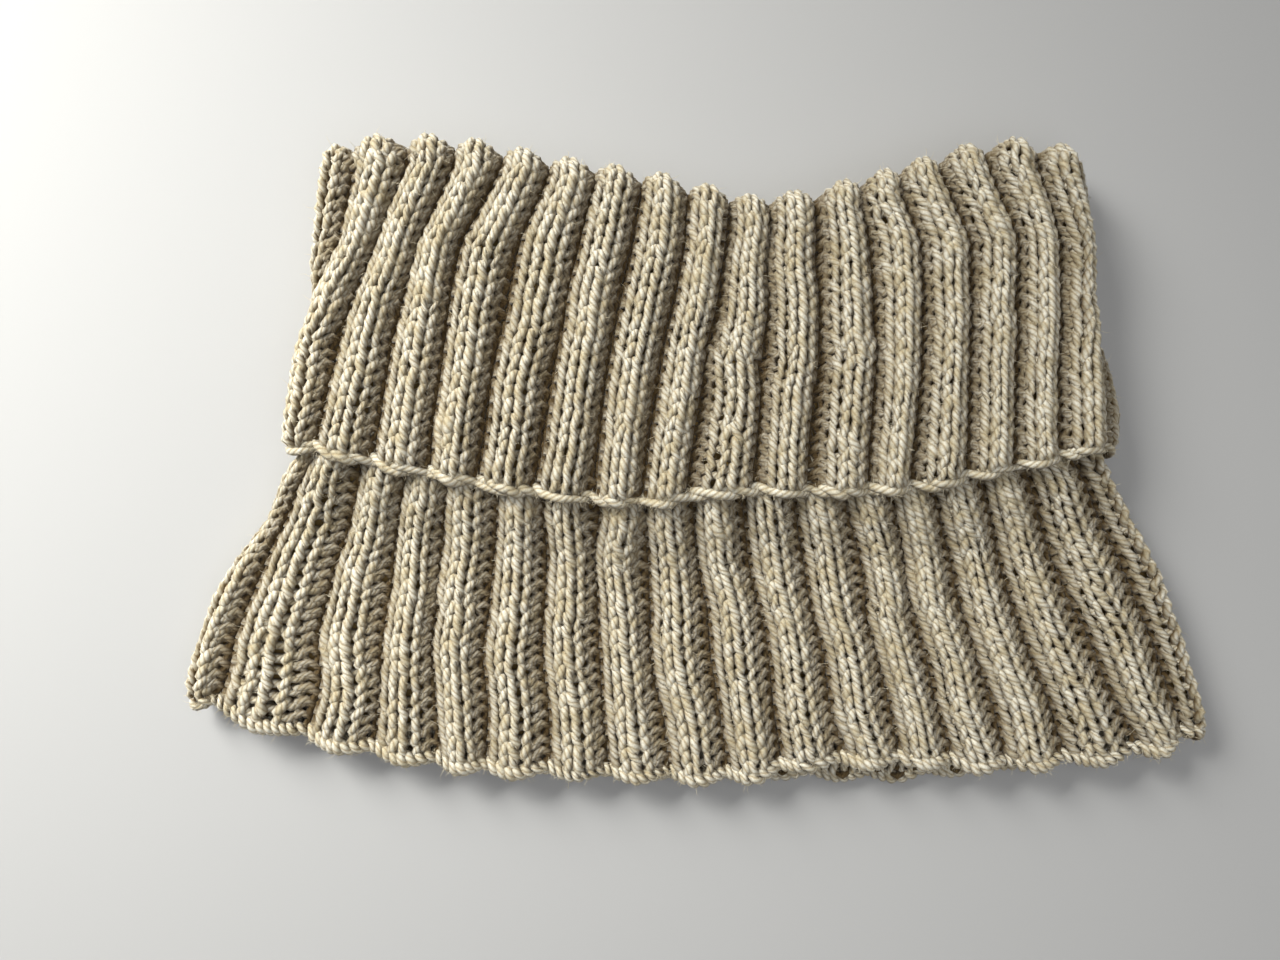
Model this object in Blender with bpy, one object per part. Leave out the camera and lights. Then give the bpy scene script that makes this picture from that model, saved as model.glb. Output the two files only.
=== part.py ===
"""A ribbed knit cowl lying flat, with its upper half turned down over the skirt as a collar.

The cowl is one seamless knitted tube. It lies on its back: X runs across it, Y up to the fold
of the collar, Z up from the surface. Every wall is lofted through stations worked out from the
tables below, with the ribs raised in the outer points over a plain inside. Sizes in the tables
are in millimetres, and the meshes are in metres.
"""

import math
from collections import namedtuple

import bmesh
import bpy
import numpy as np

MM = 0.001

# Thickness of the cloth and of the layers that lie on each other
SEAM_GAP = 0.3
COLLAR_HEIGHT = 21.7
COLLAR_RIB = 5.85
COLLAR_GROOVE = 2.75
HOOK_WALL = 4.5
SKIRT_HEIGHT = 11.0
SKIRT_RIB = 5.35
SKIRT_GROOVE = 2.4
SQUEEZED_RIB = 4.7
NECK_HALF = 4.7
NECK_INSET = 0.8
EDGE_WALL = 3.0

# Ribs: 17 lie on the front and 17 on the back, and a side rib straddles each fold
RIBS_A_SIDE = 17
FIRST_RIB = 0.5
LAST_RIB = FIRST_RIB + RIBS_A_SIDE
RIB_PROFILE = ((0.0, 0.0), (0.13, 0.62), (0.34, 1.0), (0.66, 1.0), (0.87, 0.62))
SEAM_PHASE = 0.01
EDGE_SCALLOP = 1.2
HEM_SCALLOP = 2.2

# How far the hidden parts run
HOOK_LENGTH = 12.0
SKIRT_UNDER_FLAP = 12.0
HIDDEN_CLEARANCE = 5.0
SKIRT_DROP = (-27.0, -3.0)

# The collar's groove lines: x of groove 0, 1, 2 ... at four heights
CollarLine = namedtuple("CollarLine", "fold upper lower flap")
COLLAR_LINE_Y = CollarLine(fold=93, upper=69, lower=38, flap=6)
COLLAR_LINES = (
    CollarLine(-126, -131, -148, -155),
    CollarLine(-110, -115, -132, -139),
    CollarLine(-93, -103, -115, -122),
    CollarLine(-78, -89, -98, -103),
    CollarLine(-63, -76, -81, -85),
    CollarLine(-47, -58, -64, -69),
    CollarLine(-32, -38, -45, -50),
    CollarLine(-17, -21, -28, -32),
    CollarLine(-3, -4, -11, -16),
    CollarLine(11, 10, 4, -0.5),
    CollarLine(24, 23, 21.5, 20),
    CollarLine(37, 39, 39, 37),
    CollarLine(50, 54.5, 57, 55),
    CollarLine(62, 71, 72, 69),
    CollarLine(77, 87, 87, 86),
    CollarLine(92.5, 102, 102, 101),
    CollarLine(108, 115, 116, 115),
    CollarLine(122, 129, 131, 131),
    CollarLine(138, 143, 147, 147),
)

# The skirt's groove lines, at five heights
SkirtLine = namedtuple("SkirtLine", "hidden top upper lower hem")
SKIRT_LINE_Y = SkirtLine(hidden=3, top=-10, upper=-33, lower=-59, hem=-85)
SKIRT_LINES = (
    SkirtLine(-132, -142, -159, -172, -174),
    SkirtLine(-122, -132, -143, -155, -160),
    SkirtLine(-110, -112, -119, -126, -128),
    SkirtLine(-94, -97, -101, -104, -106),
    SkirtLine(-80, -82, -85, -87, -86),
    SkirtLine(-64, -65, -68, -70, -70),
    SkirtLine(-50, -50, -51, -51, -50),
    SkirtLine(-32, -33, -34, -33, -31),
    SkirtLine(-17, -17, -17.5, -16, -12),
    SkirtLine(-2, -1.5, -0.5, 3, 7),
    SkirtLine(12, 13, 16, 22, 25),
    SkirtLine(28, 30, 34, 39, 44),
    SkirtLine(43, 46, 52, 57, 63),
    SkirtLine(58, 61, 67, 72, 79),
    SkirtLine(71, 75, 82, 89, 97),
    SkirtLine(88, 92, 98, 107, 116),
    SkirtLine(102, 107, 115, 127, 139),
    SkirtLine(118, 126, 137, 148, 157),
    SkirtLine(141, 147, 165, 172, 176),
)

# Where each rib ends: the crest of the fold, the collar's edge and the hem in front and behind
RibEnd = namedtuple("RibEnd", "fold flap hem back_hem")
RIB_ENDS = (
    RibEnd(97, 9, -75, -75),
    RibEnd(102, 7, -84, -84),
    RibEnd(102, 2.5, -91, -91),
    RibEnd(100.5, -1.5, -95, -95),
    RibEnd(97.5, -4.5, -98, -98),
    RibEnd(94.5, -8, -99.5, -99.5),
    RibEnd(92, -10.5, -100.5, -100.5),
    RibEnd(89.5, -12, -101, -101),
    RibEnd(86, -12, -102, -102),
    RibEnd(82.5, -9, -101.5, -102),
    RibEnd(84, -9, -97, -102),
    RibEnd(87, -9, -96.5, -103),
    RibEnd(90.5, -8.5, -96.5, -103),
    RibEnd(94.5, -6.5, -98, -101),
    RibEnd(98.5, -2.5, -97.5, -99),
    RibEnd(101, 0, -95.5, -95.5),
    RibEnd(98.5, 4, -92.5, -92.5),
    RibEnd(93, 9, -85, -85),
)

# The outlines of the two side folds, from the fold of the collar down to the hem
SideRow = namedtuple("SideRow", "y left right")
COLLAR_SIDES = (
    SideRow(94, -121.5, 124.5),
    SideRow(84, -122.3, 126.5),
    SideRow(71, -122.7, 127.5),
    SideRow(56, -124.3, 127.5),
    SideRow(42, -127, 130),
    SideRow(29, -130, 133.3),
    SideRow(16, -132.2, 135.5),
    SideRow(6, -132.8, 135.4),
)
SKIRT_SIDES = (
    SideRow(20, -125.6, 128.6),
    SideRow(4, -126, 129),
    SideRow(-7, -134, 134.2),
    SideRow(-20, -140.8, 143),
    SideRow(-33, -150, 150),
    SideRow(-46, -157.6, 155.2),
    SideRow(-60, -162.6, 159.6),
    SideRow(-73, -166.3, 163.8),
    SideRow(-82, -165.8, 166.3),
)

# A flattened tube: its groove lines, its side folds, half its height, the radius of the core
# that its walls stand on, and the radius at which its ribs are spaced round the side folds
Tube = namedtuple("Tube", "lines line_y sides half core bend")
COLLAR = Tube(
    COLLAR_LINES,
    COLLAR_LINE_Y,
    COLLAR_SIDES,
    half=COLLAR_HEIGHT / 2,
    core=COLLAR_HEIGHT / 2 - SEAM_GAP / 2 - COLLAR_RIB,
    bend=9.0,
)
SKIRT = Tube(SKIRT_LINES, SKIRT_LINE_Y, SKIRT_SIDES, half=SKIRT_HEIGHT / 2, core=0.0, bend=4.0)

# Where the ribs go level: from this outward direction down to straight under
UNDERSIDE = (-0.9, -0.5)

# The turn of the fold over which the ribbed wall eases into the hidden one, and the stretch in
# from an end over which a wall comes to its whole thickness
FOLD_EASE = (math.pi / 3, math.pi * 5 / 6)
EDGE_TAPER = (-1.0, 3.0)

# Points across the walls: the least distance of a ribbed point from a seam, and how close the
# plain points are in the ribs beside a side fold, all in ribs
SEAM_CLEAR = 0.05
SIDE_RIBS = 2.0
SIDE_STEP = 0.25

# Where the hidden solid's points turn its side folds, as shares of its width
NECK_BENDS = (0.008, 0.016, 0.024, 0.032)
NECK_SPANS = 12
NECK_STATIONS = 5

# The stations of each wall: how far along it they are, and how far in from its end in mm
Station = namedtuple("Station", "stretch share inset")
COLLAR_STATIONS = (
    [Station("flap", 0.0, inset) for inset in (0.0, 1.2, 3.0)]
    + [Station("flap", share, 0.0) for share in (0.2, 0.4, 0.6, 0.8, 1.0)]
    + [Station("fold", degrees / 180, 0.0) for degrees in (30, 60, 90, 120, 150, 180)]
    + [Station("hook", 1.0, 0.0)]
)
SKIRT_SHARES = (0.0, 0.1, 0.17, 0.25, 0.35, 0.45, 0.6, 0.75, 0.88)
SKIRT_STATIONS = (
    [Station("skirt", share, 0.0) for share in SKIRT_SHARES]
    + [Station("skirt", 1.0, inset) for inset in (3.0, 1.0, 0.0)]
)

WOOL = {"cream": (0.68, 0.59, 0.43), "shade": (0.55, 0.46, 0.32)}


def eased(low, high, value):
    """Goes smoothly from 0 at low to 1 at high."""
    share = np.clip((value - low) / (high - low), 0.0, 1.0)
    return share * share * (3.0 - 2.0 * share)


def crossed(tube, phase, y):
    """Gives x where a rib phase, 3 at groove 3 and 3.5 on the crest after it, crosses height y."""
    heights = np.array(tube.line_y)[::-1]
    table = np.array(tube.lines)[:, ::-1]
    y = np.minimum(y, heights[-1])
    row = np.clip(np.floor(phase).astype(int), 0, len(table) - 2)
    column = np.clip(np.searchsorted(heights, y) - 1, 0, len(heights) - 2)
    rise = (y - heights[column]) / (heights[column + 1] - heights[column])
    before = table[row, column] + rise * (table[row, column + 1] - table[row, column])
    after = table[row + 1, column] + rise * (table[row + 1, column + 1] - table[row + 1, column])
    return before + (phase - row) * (after - before)


def flat_between(tube, y):
    """Gives the x at which the tube's flat face ends on the left and on the right."""
    rows = sorted(tube.sides)
    heights = [row.y for row in rows]
    left = np.interp(y, heights, [row.left for row in rows])
    right = np.interp(y, heights, [row.right for row in rows])
    return left + tube.half, right - tube.half


def round_tube(reach, left, right, bend):
    """Turns a distance round a flattened tube into the core's x and the outward direction."""
    half_turn = math.pi * bend
    under = np.clip(reach - right - half_turn, 0.0, right - left)
    angle = (
        np.clip((reach - right) / bend, 0.0, math.pi)
        + np.clip((reach - 2.0 * right + left - half_turn) / bend, 0.0, math.pi)
        - np.clip((left - reach) / bend, 0.0, math.pi)
    )
    return np.clip(reach, left, right) - under, np.sin(angle), np.cos(angle)


def lie(tube, phase, y):
    """Gives where a phase lies at height y: by the table in front, and evenly at the back."""
    left, right = flat_between(tube, y)
    first = crossed(tube, np.full_like(y, FIRST_RIB), y)
    last = crossed(tube, np.full_like(y, LAST_RIB), y)
    whole = 2.0 * (right - left) + 2.0 * math.pi * tube.bend
    behind = last + (phase - LAST_RIB) / RIBS_A_SIDE * (whole + first - last)
    front = crossed(tube, np.clip(phase, FIRST_RIB, LAST_RIB), y)
    return round_tube(np.where(phase > LAST_RIB, behind, front), left, right, tube.bend)


def end_at(x, name):
    """Gives the y at which the ribs end near x, at the fold, the flap's edge or the hem."""
    lines = SKIRT_LINES if "hem" in name else COLLAR_LINES
    edges = np.array([getattr(row, name.removeprefix("back_")) for row in lines])
    return np.interp(x, (edges[:-1] + edges[1:]) / 2, [getattr(row, name) for row in RIB_ENDS])


def rib_height(phase):
    """Gives 0 in a groove between ribs and 1 on a rib's crest."""
    places = [row[0] for row in RIB_PROFILE] + [1.0]
    heights = [row[1] for row in RIB_PROFILE] + [0.0]
    return np.interp(np.mod(phase, 1.0), places, heights)


def ribbed(phase, out_z, groove, rib):
    """Gives the wall's thickness: ribbed, but level where it rests on the surface."""
    resting = 1.0 - eased(*UNDERSIDE, out_z)
    height = rib_height(phase)
    return groove + (rib - groove) * (height + (1.0 - height) * resting)


def thinned(thick, inset):
    """Thins a wall towards its end, where the edge stitches draw it in."""
    return EDGE_WALL + (thick - EDGE_WALL) * eased(*EDGE_TAPER, inset)


def collar_row(phase, station, outer, lift):
    """Gives one row of points of the collar's wall, on its ribbed face or its plain one."""
    x_fold = lie(COLLAR, phase, np.full_like(phase, COLLAR_LINE_Y.fold))[0]
    x_flap = lie(COLLAR, phase, np.full_like(phase, COLLAR_LINE_Y.flap))[0]
    y_fold = end_at(x_fold, "fold") - COLLAR_RIB
    scallop = EDGE_SCALLOP * rib_height(phase) * (1.0 - station.share)
    y_flap = end_at(x_flap, "flap") - scallop + station.inset
    turn = 0.0
    y = y_fold
    if station.stretch == "flap":
        y = y_flap + station.share * (y_fold - y_flap)
    if station.stretch == "fold":
        turn = math.pi * station.share
    if station.stretch == "hook":
        turn = math.pi
        y = y_fold - HOOK_LENGTH
    x, out_x, out_z = lie(COLLAR, phase, y)
    thick = np.full_like(phase, SEAM_GAP / 2)
    if outer:
        thick = ribbed(phase, out_z, COLLAR_GROOVE, COLLAR_RIB)
        thick = thick + eased(*FOLD_EASE, turn) * (HOOK_WALL - thick)
    if outer and station.share == 0.0:
        thick = thinned(thick, station.inset)
    away = COLLAR.core + thick * math.cos(turn)
    return np.stack(
        [x + out_x * away, y + thick * math.sin(turn), COLLAR.half + out_z * away + lift],
        axis=-1,
    )


def across_flat(tube, phase, y):
    """Gives the x of a point of the plain inside, which lies flat between the side folds."""
    front = np.where(phase > LAST_RIB, 2 * LAST_RIB - phase, phase)
    left, right = flat_between(tube, y)
    return left + (right - left) * np.clip((front - FIRST_RIB) / RIBS_A_SIDE, 0.0, 1.0)


def skirt_row(phase, station, outer, lift):
    """Gives one row of points of the skirt's wall, from under the flap down to the hem."""
    top = np.full_like(phase, SKIRT_LINE_Y.hidden)
    bottom = np.full_like(phase, SKIRT_LINE_Y.hem)
    x_top = lie(SKIRT, phase, top)[0] if outer else across_flat(SKIRT, phase, top)
    x_hem = lie(SKIRT, phase, bottom)[0] if outer else across_flat(SKIRT, phase, bottom)
    y_flap = end_at(x_top, "flap")
    y_top = y_flap + SKIRT_UNDER_FLAP
    hem = "hem" if phase[0] < LAST_RIB else "back_hem"
    y_hem = end_at(x_hem, hem) - HEM_SCALLOP * rib_height(phase) * station.share
    y = y_top + station.share * (y_hem + station.inset - y_top)
    down = 1.0 - eased(*SKIRT_DROP, y - y_flap)
    middle = COLLAR.half + (SKIRT.half - COLLAR.half) * down + lift
    if not outer:
        return np.stack([across_flat(SKIRT, phase, y), y, middle], axis=-1)
    x, out_x, out_z = lie(SKIRT, phase, y)
    thick = ribbed(phase, out_z, SKIRT_GROOVE, SQUEEZED_RIB + (SKIRT_RIB - SQUEEZED_RIB) * down)
    if station.share == 1.0:
        thick = thinned(thick, station.inset)
    return np.stack([x + out_x * thick, y, middle + out_z * thick], axis=-1)


def neck_row(share_across, share_along, side_up):
    """Gives the upper or lower half of one section through the hidden layers."""
    phase = FIRST_RIB + RIBS_A_SIDE * share_across
    x_low = across_flat(COLLAR, phase, np.full_like(phase, SKIRT_UNDER_FLAP))
    x_high = across_flat(COLLAR, phase, np.full_like(phase, COLLAR_LINE_Y.fold))
    low = end_at(x_low, "flap") + SKIRT_UNDER_FLAP + HIDDEN_CLEARANCE
    high = end_at(x_high, "fold") - COLLAR_RIB - HOOK_LENGTH - HIDDEN_CLEARANCE
    y = low + share_along * (high - low)
    left, right = flat_between(COLLAR, y)
    left = left + NECK_INSET
    right = right - NECK_INSET
    quarter = NECK_HALF * math.pi / 2
    reach = left - quarter + share_across * (right - left + 2.0 * quarter)
    x, out_x, out_z = round_tube(reach, left, right, NECK_HALF)
    return np.stack([x + NECK_HALF * out_x, y, COLLAR.half + NECK_HALF * out_z * side_up], axis=-1)


def ribbed_phases(start):
    """Lists the phases of the outer points over 17 ribs, just inside the seams."""
    ribs = range(int(start), int(start) + RIBS_A_SIDE + 1)
    steps = [rib + place for rib in ribs for place, _ in RIB_PROFILE]
    end = start + RIBS_A_SIDE
    inside = [step for step in steps if start + SEAM_CLEAR < step < end - SEAM_CLEAR]
    return np.array([start + SEAM_PHASE] + inside + [end - SEAM_PHASE])


def plain_phases(start):
    """Lists the phases of the inner points: close together round the side folds."""
    end = start + RIBS_A_SIDE
    near = np.arange(SIDE_STEP, SIDE_RIBS, SIDE_STEP)
    middle = np.arange(SIDE_RIBS, RIBS_A_SIDE - SIDE_RIBS + SIDE_STEP)
    parts = [[start + SEAM_PHASE], start + near, start + middle, end - near[::-1], [end - SEAM_PHASE]]
    return np.concatenate(parts)


def zipped(row_a, row_b, places_a, places_b):
    """Lists the triangles that close the strip between two rows of points."""
    triangles = []
    a = b = 0
    while a < len(row_a) - 1 or b < len(row_b) - 1:
        b_is_done = b == len(row_b) - 1
        if b_is_done or (a < len(row_a) - 1 and places_a[a + 1] <= places_b[b + 1]):
            triangles.append((row_a[a], row_a[a + 1], row_b[b]))
            a += 1
        else:
            triangles.append((row_a[a], row_b[b + 1], row_b[b]))
            b += 1
    return triangles


def wool_material(name, colour):
    """Makes a piece's own plain wool material."""
    material = bpy.data.materials.new(f"{name}_wool")
    material.use_nodes = True
    shader = material.node_tree.nodes["Principled BSDF"]
    shader.inputs["Base Color"].default_value = (*WOOL[colour], 1.0)
    shader.inputs["Roughness"].default_value = 0.95
    shader.inputs["Metallic"].default_value = 0.0
    return material


def build_wall(name, rows, places, colour, collection):
    """Lofts a closed wall through stations.

    rows holds an outer and an inner row of points for each station, and places says how far
    across the outer and the inner points are, for closing the two ends.
    """
    shape = bmesh.new()
    rings = [[[shape.verts.new(point * MM) for point in row] for row in pair] for pair in rows]
    for (outer_a, inner_a), (outer_b, inner_b) in zip(rings, rings[1:]):
        round_a = outer_a + inner_a[::-1]
        round_b = outer_b + inner_b[::-1]
        for spot in range(len(round_a)):
            after = (spot + 1) % len(round_a)
            shape.faces.new((round_a[spot], round_a[after], round_b[after], round_b[spot]))
    for outer, inner in (rings[0], rings[-1]):
        for triangle in zipped(outer, inner, *places):
            shape.faces.new(triangle)
    bmesh.ops.triangulate(shape, faces=shape.faces[:], quad_method="SHORT_EDGE")
    bmesh.ops.recalc_face_normals(shape, faces=shape.faces[:])
    mesh = bpy.data.meshes.new(name)
    shape.to_mesh(mesh)
    shape.free()
    mesh.shade_smooth()
    mesh.set_sharp_from_angle(angle=math.radians(50))
    mesh.materials.append(wool_material(name, colour))
    collection.objects.link(bpy.data.objects.new(name, mesh))


def build_half(name, make_row, stations, start, lift, colour, collection):
    """Builds the half of the collar or the skirt that starts at a rib phase."""
    outer = ribbed_phases(start)
    inner = plain_phases(start)
    rows = [
        (make_row(outer, station, True, lift), make_row(inner, station, False, lift))
        for station in stations
    ]
    build_wall(name, rows, (outer, inner), colour, collection)


def build_neck(name, collection):
    """Builds the two hidden layers inside the collar as one rounded solid."""
    bends = np.array(NECK_BENDS)
    flat = np.arange(1, NECK_SPANS) / NECK_SPANS
    upper = np.concatenate([[0.0], bends, flat, 1.0 - bends[::-1], [1.0]])
    lower = upper[1:-1]
    rows = [
        (neck_row(upper, along, 1.0), neck_row(lower, along, -1.0))
        for along in np.linspace(0.0, 1.0, NECK_STATIONS)
    ]
    build_wall(name, rows, (upper, lower), "shade", collection)


def build_cowl():
    """Builds every piece into the cowl's collection."""
    for old in list(bpy.data.objects):
        bpy.data.objects.remove(old, do_unlink=True)
    cowl = bpy.data.collections.new("ribbed_knit_cowl")
    bpy.context.scene.collection.children.link(cowl)
    lift = SEAM_GAP / 2
    build_half("collar_front", collar_row, COLLAR_STATIONS, FIRST_RIB, lift, "cream", cowl)
    build_half("collar_back", collar_row, COLLAR_STATIONS, LAST_RIB, -lift, "shade", cowl)
    build_neck("neck_layers", cowl)
    build_half("skirt_front", skirt_row, SKIRT_STATIONS, FIRST_RIB, lift, "cream", cowl)
    build_half("skirt_back", skirt_row, SKIRT_STATIONS, LAST_RIB, -lift, "shade", cowl)


build_cowl()
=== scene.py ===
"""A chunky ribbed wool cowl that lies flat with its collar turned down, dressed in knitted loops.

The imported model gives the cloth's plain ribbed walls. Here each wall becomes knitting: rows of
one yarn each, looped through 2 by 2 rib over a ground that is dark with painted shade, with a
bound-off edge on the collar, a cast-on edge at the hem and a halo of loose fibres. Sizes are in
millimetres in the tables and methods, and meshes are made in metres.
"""

import logging
import math
from collections import namedtuple
from dataclasses import dataclass
from enum import Enum
from typing import Any

import bpy
import numpy as np
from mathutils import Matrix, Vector

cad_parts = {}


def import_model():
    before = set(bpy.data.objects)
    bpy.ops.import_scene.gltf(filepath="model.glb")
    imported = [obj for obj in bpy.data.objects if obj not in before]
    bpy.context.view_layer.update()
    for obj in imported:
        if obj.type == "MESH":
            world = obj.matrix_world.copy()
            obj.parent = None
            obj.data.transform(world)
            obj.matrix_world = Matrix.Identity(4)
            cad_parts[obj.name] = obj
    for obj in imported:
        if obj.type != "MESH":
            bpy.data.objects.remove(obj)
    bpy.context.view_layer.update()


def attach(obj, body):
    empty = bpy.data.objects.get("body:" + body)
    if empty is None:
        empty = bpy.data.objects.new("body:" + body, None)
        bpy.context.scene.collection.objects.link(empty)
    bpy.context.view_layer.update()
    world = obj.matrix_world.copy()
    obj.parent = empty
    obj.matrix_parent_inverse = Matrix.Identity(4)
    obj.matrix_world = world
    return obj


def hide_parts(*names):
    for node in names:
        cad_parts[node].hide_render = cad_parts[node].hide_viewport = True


LOG = logging.getLogger("cowl")
MM = 0.001
WHITE = (1.0, 1.0, 1.0, 1.0)

# A texture's bands of yarn: what stays free at a band's ends and sides, and where the yarn's
# cut ends lie in that free part
BAND_END = 0.01
BAND_SIDE = 0.06
CAP_MIDDLE = 0.004
CAP_RADII = (0.003, 0.3)

# The cloth and its layers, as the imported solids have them
SEAM_GAP = 0.3
COLLAR_HEIGHT = 21.7
SKIRT_HEIGHT = 11.0
HOOK_WALL = 4.5
SQUEEZED_RIB = 4.7
SQUEEZED_ABOVE = (0.75, 0.92)
SKIRT_UNDER_FLAP = 12.0
SKIRT_DROP = (-27.0, -3.0)
UNDERSIDE = (-0.9, -0.5)
FOLD_EASE = (math.pi / 3, math.pi * 5 / 6)
EDGE_WALL = 3.0
EDGE_TAPER = (-1.0, 3.0)

# Ribs: 17 lie on the front and 17 on the back, and a side rib straddles each fold
RIBS_A_SIDE = 17
STITCHES_A_RIB = 4
FIRST_RIB = 0.5
LAST_RIB = FIRST_RIB + RIBS_A_SIDE
RIB_ROUNDNESS = 1.45
EDGE_SCALLOP = 1.2
HEM_SCALLOP = 2.2

# The knitting: the height of a row, and the share of a rib's pitch that its two knit wales take
ROW_HEIGHT = 4.15
KNIT_SHARE = 0.68

# A purl stitch no wider than this lies hidden in its groove; the last part is for rounding
HIDDEN_WIDTH = (1.0 - KNIT_SHARE) / 2 + 1e-6
PHASE_MARGIN = 0.001

# The collar's groove lines: x of groove 0, 1, 2 ... at four heights
CollarLine = namedtuple("CollarLine", "fold upper lower flap")
COLLAR_LINE_Y = CollarLine(fold=93, upper=69, lower=38, flap=6)
COLLAR_LINES = (
    CollarLine(-126, -131, -148, -155),
    CollarLine(-110, -115, -132, -139),
    CollarLine(-93, -103, -115, -122),
    CollarLine(-78, -89, -98, -103),
    CollarLine(-63, -76, -81, -85),
    CollarLine(-47, -58, -64, -69),
    CollarLine(-32, -38, -45, -50),
    CollarLine(-17, -21, -28, -32),
    CollarLine(-3, -4, -11, -16),
    CollarLine(11, 10, 4, -0.5),
    CollarLine(24, 23, 21.5, 20),
    CollarLine(37, 39, 39, 37),
    CollarLine(50, 54.5, 57, 55),
    CollarLine(62, 71, 72, 69),
    CollarLine(77, 87, 87, 86),
    CollarLine(92.5, 102, 102, 101),
    CollarLine(108, 115, 116, 115),
    CollarLine(122, 129, 131, 131),
    CollarLine(138, 143, 147, 147),
)

# The skirt's groove lines, at five heights
SkirtLine = namedtuple("SkirtLine", "hidden top upper lower hem")
SKIRT_LINE_Y = SkirtLine(hidden=3, top=-10, upper=-33, lower=-59, hem=-85)
SKIRT_LINES = (
    SkirtLine(-132, -142, -159, -172, -174),
    SkirtLine(-122, -132, -143, -155, -160),
    SkirtLine(-110, -112, -119, -126, -128),
    SkirtLine(-94, -97, -101, -104, -106),
    SkirtLine(-80, -82, -85, -87, -86),
    SkirtLine(-64, -65, -68, -70, -70),
    SkirtLine(-50, -50, -51, -51, -50),
    SkirtLine(-32, -33, -34, -33, -31),
    SkirtLine(-17, -17, -17.5, -16, -12),
    SkirtLine(-2, -1.5, -0.5, 3, 7),
    SkirtLine(12, 13, 16, 22, 25),
    SkirtLine(28, 30, 34, 39, 44),
    SkirtLine(43, 46, 52, 57, 63),
    SkirtLine(58, 61, 67, 72, 79),
    SkirtLine(71, 75, 82, 89, 97),
    SkirtLine(88, 92, 98, 107, 116),
    SkirtLine(102, 107, 115, 127, 139),
    SkirtLine(118, 126, 137, 148, 157),
    SkirtLine(141, 147, 165, 172, 176),
)

# Where each rib ends: the crest of the fold, the collar's edge and the hem in front and behind
RibEnd = namedtuple("RibEnd", "fold flap hem back_hem")
RIB_ENDS = (
    RibEnd(97, 9, -75, -75),
    RibEnd(102, 7, -84, -84),
    RibEnd(102, 2.5, -91, -91),
    RibEnd(100.5, -1.5, -95, -95),
    RibEnd(97.5, -4.5, -98, -98),
    RibEnd(94.5, -8, -99.5, -99.5),
    RibEnd(92, -10.5, -100.5, -100.5),
    RibEnd(89.5, -12, -101, -101),
    RibEnd(86, -12, -102, -102),
    RibEnd(82.5, -9, -101.5, -102),
    RibEnd(84, -9, -97, -102),
    RibEnd(87, -9, -96.5, -103),
    RibEnd(90.5, -8.5, -96.5, -103),
    RibEnd(94.5, -6.5, -98, -101),
    RibEnd(98.5, -2.5, -97.5, -99),
    RibEnd(101, 0, -95.5, -95.5),
    RibEnd(98.5, 4, -92.5, -92.5),
    RibEnd(93, 9, -85, -85),
)

# The outlines of the two side folds, from the fold of the collar down to the hem
SideRow = namedtuple("SideRow", "y left right")
COLLAR_SIDES = (
    SideRow(94, -121.5, 124.5),
    SideRow(84, -122.3, 126.5),
    SideRow(71, -122.7, 127.5),
    SideRow(56, -124.3, 127.5),
    SideRow(42, -127, 130),
    SideRow(29, -130, 133.3),
    SideRow(16, -132.2, 135.5),
    SideRow(6, -132.8, 135.4),
)
SKIRT_SIDES = (
    SideRow(20, -125.6, 128.6),
    SideRow(4, -126, 129),
    SideRow(-7, -134, 134.2),
    SideRow(-20, -140.8, 143),
    SideRow(-33, -150, 150),
    SideRow(-46, -157.6, 155.2),
    SideRow(-60, -162.6, 159.6),
    SideRow(-73, -166.3, 163.8),
    SideRow(-82, -165.8, 166.3),
)

# Soft troughs and ridges in the cloth: middle, half length and half width, turn and depth
Crease = namedtuple("Crease", "x y along across degrees depth")
CREASES = (
    Crease(-92, 58, 34, 15, 72, -0.7),
    Crease(-38, 30, 30, 13, 80, 0.6),
    Crease(2, 12, 16, 7, 55, -1.0),
    Crease(14, 64, 26, 14, 95, -0.6),
    Crease(74, 40, 32, 13, 88, 0.7),
    Crease(112, 22, 20, 10, 100, -0.6),
    Crease(-118, -52, 28, 12, 62, -0.7),
    Crease(-70, -66, 26, 12, 84, 0.6),
    Crease(-8, -44, 22, 10, 96, -0.7),
    Crease(46, -74, 24, 12, 108, 0.6),
    Crease(92, -50, 26, 12, 116, -0.7),
    Crease(134, -70, 18, 9, 120, 0.5),
)

# Thick places in the yarn, by where they show on the cloth
Slub = namedtuple("Slub", "x y spread swell")
SLUBS = (
    Slub(-80, 11, 3.0, 0.55),
    Slub(-117, 24, 3.4, 0.35),
    Slub(-110, 22, 3.0, 0.3),
    Slub(96, 76, 3.2, 0.45),
    Slub(79, 64, 3.0, 0.4),
    Slub(51, 54, 3.6, 0.45),
    Slub(52, 37, 3.2, 0.4),
    Slub(111, 17, 3.0, 0.45),
    Slub(75, 2, 2.8, 0.35),
    Slub(34, -36, 3.0, 0.3),
    Slub(46, -84, 3.6, 0.4),
    Slub(-62, -52, 2.6, 0.3),
    Slub(-146, -62, 24.0, 0.24),
)


def eased(low: float, high: float, value: Any) -> Any:
    """Goes smoothly from 0 at low to 1 at high."""
    share = np.clip((value - low) / (high - low), 0.0, 1.0)
    return share * share * (3.0 - 2.0 * share)


def unit(vectors: np.ndarray) -> np.ndarray:
    """Scales vectors to a length of 1, except those too short to have a direction."""
    return vectors / np.maximum(np.linalg.norm(vectors, axis=-1, keepdims=True), 1e-6)


def linear_colour(sheet_hex: str) -> tuple[float, float, float, float]:
    """Turns an sRGB hex colour into linear light.

    Args:
        sheet_hex: six hex digits, without a mark before them.

    Returns:
        Red, green, blue and an alpha of 1.
    """
    shares = [int(sheet_hex[at : at + 2], 16) / 255 for at in (0, 2, 4)]
    linear = [share / 12.92 if share <= 0.04045 else ((share + 0.055) / 1.055) ** 2.4 for share in shares]
    return (*linear, 1.0)


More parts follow.
